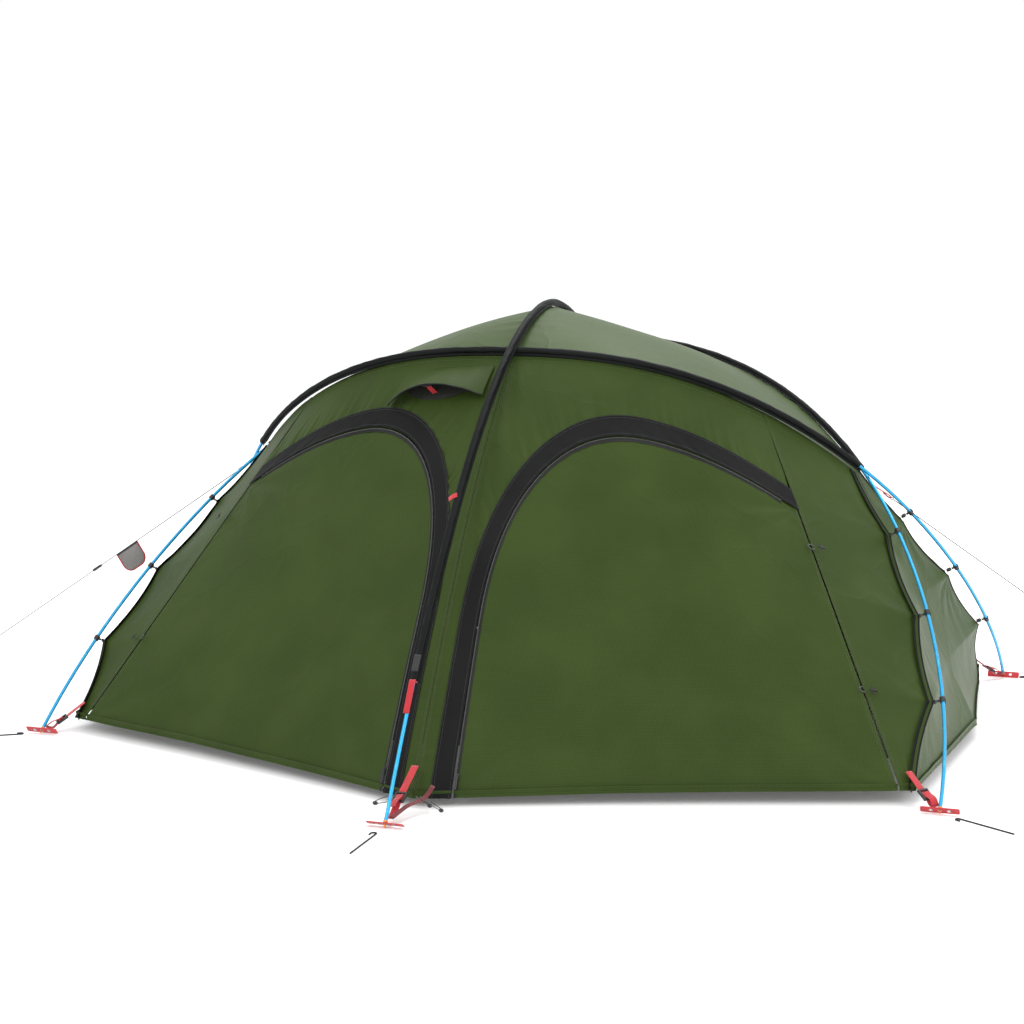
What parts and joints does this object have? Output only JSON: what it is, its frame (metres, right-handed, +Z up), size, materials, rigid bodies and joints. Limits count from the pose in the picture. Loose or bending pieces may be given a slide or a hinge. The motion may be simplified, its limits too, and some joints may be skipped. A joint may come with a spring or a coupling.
{
  "type": "geodesic tent",
  "caption": "Two-person geodesic tent with three bent poles, green fly, two zipped porches, guylines, pegs and an inner tent.",
  "frame": {"origin": "middle of the ground plan, at ground level", "axes": "+X along the tent to the right, -Y to the front porch, +Z up"},
  "size_m": [4.32, 3.064, 1.2038],
  "materials": {
    "elastic": "matte",
    "flap": "matte",
    "floor": "satin",
    "fly": "satin",
    "hardware": "satin",
    "inner": "matte",
    "line": "matte",
    "mesh": "matte",
    "metal": "satin",
    "pole": "satin",
    "roof": "satin",
    "sleeve": "matte",
    "steel": "satin",
    "tip": "satin",
    "webbing": "matte",
    "zip": "satin"
  },
  "bodies": {
    "root": {"front_pole": "pole", "rear_pole": "pole", "cross_pole": "pole", "pole_ferrules": "metal", "shock_cords": "elastic", "pole_tips": "tip", "front_sleeve": "sleeve", "rear_sleeve": "sleeve", "cross_sleeve": "sleeve", "pole_clips": "hardware", "clip_rings": "steel", "clip_tabs": "sleeve", "roof_left": "roof", "roof_right": "roof", "end_panel_left": "roof", "end_panel_right": "roof", "surround_front_left": "fly", "surround_front_right": "fly", "surround_rear_left": "fly", "surround_rear_right": "fly", "leg_panel_front_left": "fly", "leg_panel_front_right": "fly", "leg_panel_rear_left": "fly", "leg_panel_rear_right": "fly", "storm_flap_front_left": "flap", "storm_flap_front_right": "flap", "storm_flap_rear_left": "flap", "storm_flap_rear_right": "flap", "door_toggles": "hardware", "crossbars": "webbing", "grommets": "metal", "foot_straps": "webbing", "ladder_buckles": "hardware", "guy_tabs": "webbing", "guylines": "line", "guy_pegs": "steel", "foot_pegs": "steel", "inner_floor": "floor", "inner_canopy": "inner"},
    "door_front_right": {"door_front_right": "fly", "zip_front_right": "zip"},
    "slider_front_right": {"zip_slider_front_right": "metal"},
    "door_front_left": {"door_front_left": "fly", "zip_front_left": "zip"},
    "slider_front_left": {"zip_slider_front_left": "metal"},
    "door_rear_right": {"door_rear_right": "fly", "zip_rear_right": "zip"},
    "slider_rear_right": {"zip_slider_rear_right": "metal"},
    "door_rear_left": {"door_rear_left": "fly", "zip_rear_left": "zip"},
    "slider_rear_left": {"zip_slider_rear_left": "metal"},
    "vent_hood_front": {"vent_hood_front": "fly"},
    "vent_hood_rear": {"vent_hood_rear": "fly"},
    "line_lock_left": {"line_lock_left": "hardware"},
    "line_lock_right": {"line_lock_right": "hardware"},
    "guy_pouch": {"guy_pouch": "mesh"},
    "inner_door_front": {"inner_door_front": "inner"},
    "inner_door_rear": {"inner_door_rear": "inner"}
  },
  "joints": [
    {"name": "door_swing_front_right", "type": "hinge", "parent": "root", "child": "door_front_right", "pos_m": [1.14461, -0.7323, 0.03752], "axis": [-0.4194, 0.4746, 0.7739], "range_deg": [0, 95]},
    {"name": "zip_slide_front_right", "type": "slide", "parent": "door_front_right", "child": "slider_front_right", "axis": [-0.0262, 0.503, 0.8639], "range_m": [0, 0.18]},
    {"name": "door_swing_front_left", "type": "hinge", "parent": "root", "child": "door_front_left", "pos_m": [-1.14461, -0.7323, 0.03752], "axis": [-0.4194, -0.4746, -0.7739], "range_deg": [0, 95]},
    {"name": "zip_slide_front_left", "type": "slide", "parent": "door_front_left", "child": "slider_front_left", "axis": [0.0262, 0.503, 0.8639], "range_m": [0, 0.18]},
    {"name": "door_swing_rear_right", "type": "hinge", "parent": "root", "child": "door_rear_right", "pos_m": [1.14461, 0.7323, 0.03752], "axis": [0.4194, 0.4746, -0.7739], "range_deg": [0, 95]},
    {"name": "zip_slide_rear_right", "type": "slide", "parent": "door_rear_right", "child": "slider_rear_right", "axis": [-0.0262, -0.503, 0.8639], "range_m": [0, 0.18]},
    {"name": "door_swing_rear_left", "type": "hinge", "parent": "root", "child": "door_rear_left", "pos_m": [-1.14461, 0.7323, 0.03752], "axis": [0.4194, -0.4746, 0.7739], "range_deg": [0, 95]},
    {"name": "zip_slide_rear_left", "type": "slide", "parent": "door_rear_left", "child": "slider_rear_left", "axis": [0.0262, -0.503, 0.8639], "range_m": [0, 0.18]},
    {"name": "vent_lift_front", "type": "hinge", "parent": "root", "child": "vent_hood_front", "pos_m": [-0.04251, -0.37463, 1.03824], "axis": [-0.9901, 0.0929, -0.1051], "range_deg": [0, 15]},
    {"name": "vent_lift_rear", "type": "hinge", "parent": "root", "child": "vent_hood_rear", "pos_m": [0.04251, 0.37463, 1.03824], "axis": [0.9901, -0.0929, -0.1051], "range_deg": [0, 15]},
    {"name": "line_lock_slide_left", "type": "slide", "parent": "root", "child": "line_lock_left", "axis": [-0.8324, 0, -0.5542], "range_m": [-0.06, 0.06]},
    {"name": "line_lock_slide_right", "type": "slide", "parent": "root", "child": "line_lock_right", "axis": [0.8324, 0, -0.5542], "range_m": [-0.06, 0.06]},
    {"name": "pouch_swing", "type": "hinge", "parent": "root", "child": "guy_pouch", "pos_m": [-1.39734, 0, 0.40091], "axis": [-0.8324, 0, -0.5542], "range_deg": [-60, 60]},
    {"name": "inner_door_swing_front", "type": "hinge", "parent": "root", "child": "inner_door_front", "pos_m": [-0.276, -0.54, 0.102], "axis": [0, -0.3847, -0.923], "range_deg": [0, 30]},
    {"name": "inner_door_swing_rear", "type": "hinge", "parent": "root", "child": "inner_door_rear", "pos_m": [-0.276, 0.54, 0.102], "axis": [0, -0.3847, 0.923], "range_deg": [0, 30]}
  ]
}
